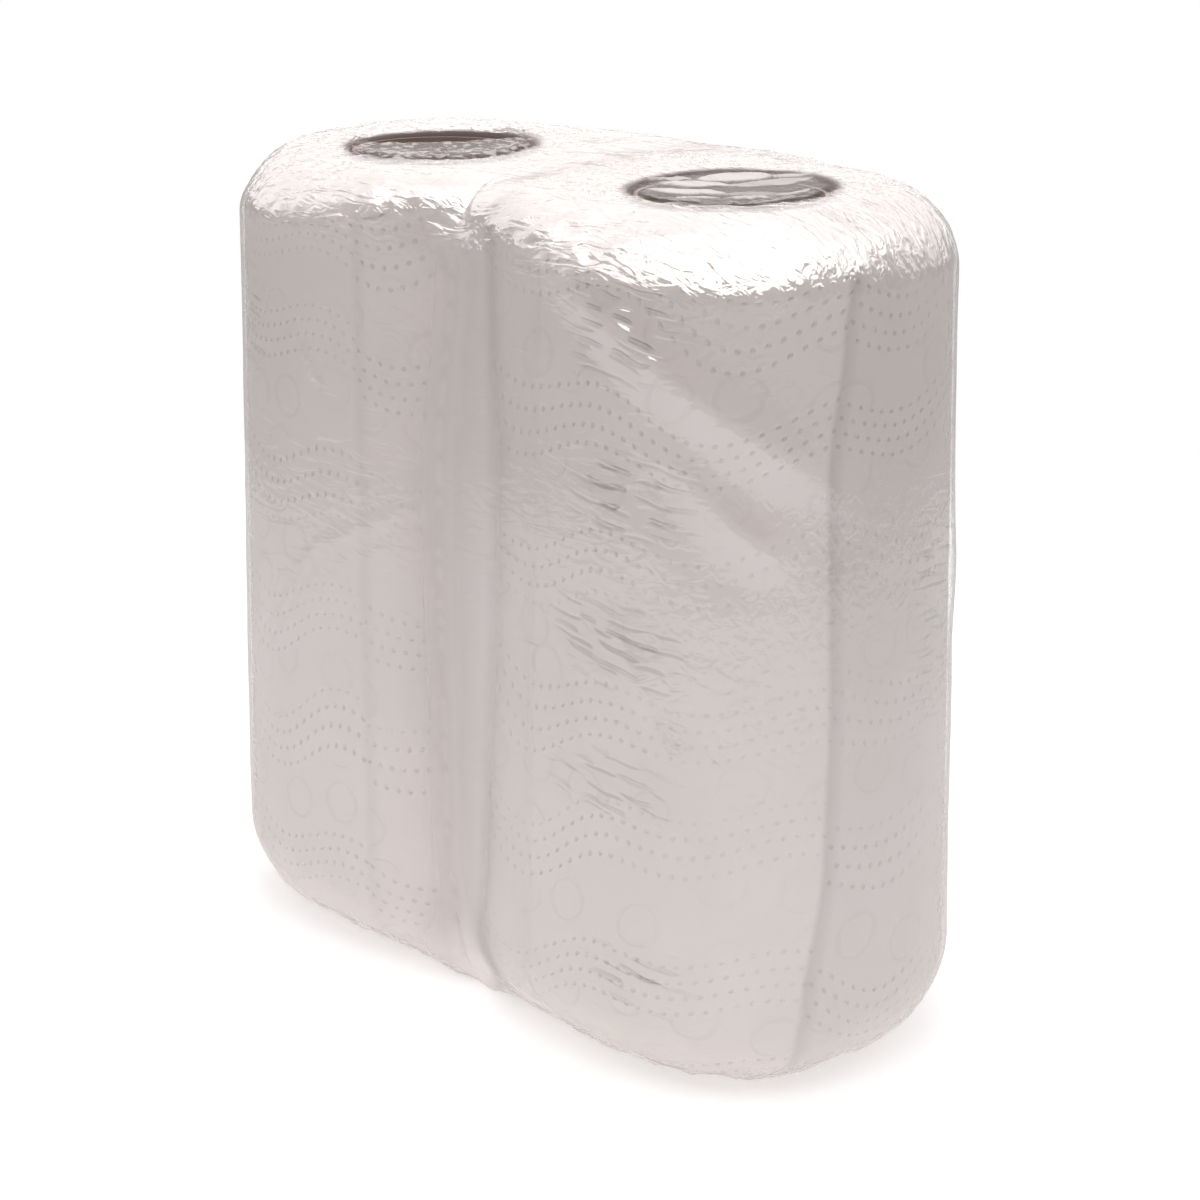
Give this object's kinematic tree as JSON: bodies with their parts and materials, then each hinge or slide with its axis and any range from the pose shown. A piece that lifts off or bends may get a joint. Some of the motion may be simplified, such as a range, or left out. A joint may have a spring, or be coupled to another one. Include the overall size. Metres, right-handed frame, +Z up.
{
  "type": "pack of paper towel rolls",
  "caption": "Upright pack of paper towel rolls in tight clear film that sags into a core and is torn open over another.",
  "frame": {"origin": "on the floor under the middle of the pack, between the two rolls", "axes": "+Z up along both cores, +X from the left roll to the right roll, -Y to the front"},
  "size_m": [0.2226, 0.1074, 0.22],
  "materials": {
    "clear_film": "clear glossy polyethylene film, finely wrinkled",
    "towel_paper": "matt, embossed with rows of small dots",
    "core_board": "matt grey-brown spiral board"
  },
  "bodies": {
    "root": {"film_wrap": "clear_film", "left_paper_roll": "towel_paper", "right_paper_roll": "towel_paper", "left_core": "core_board", "right_core": "core_board"}
  },
  "joints": []
}
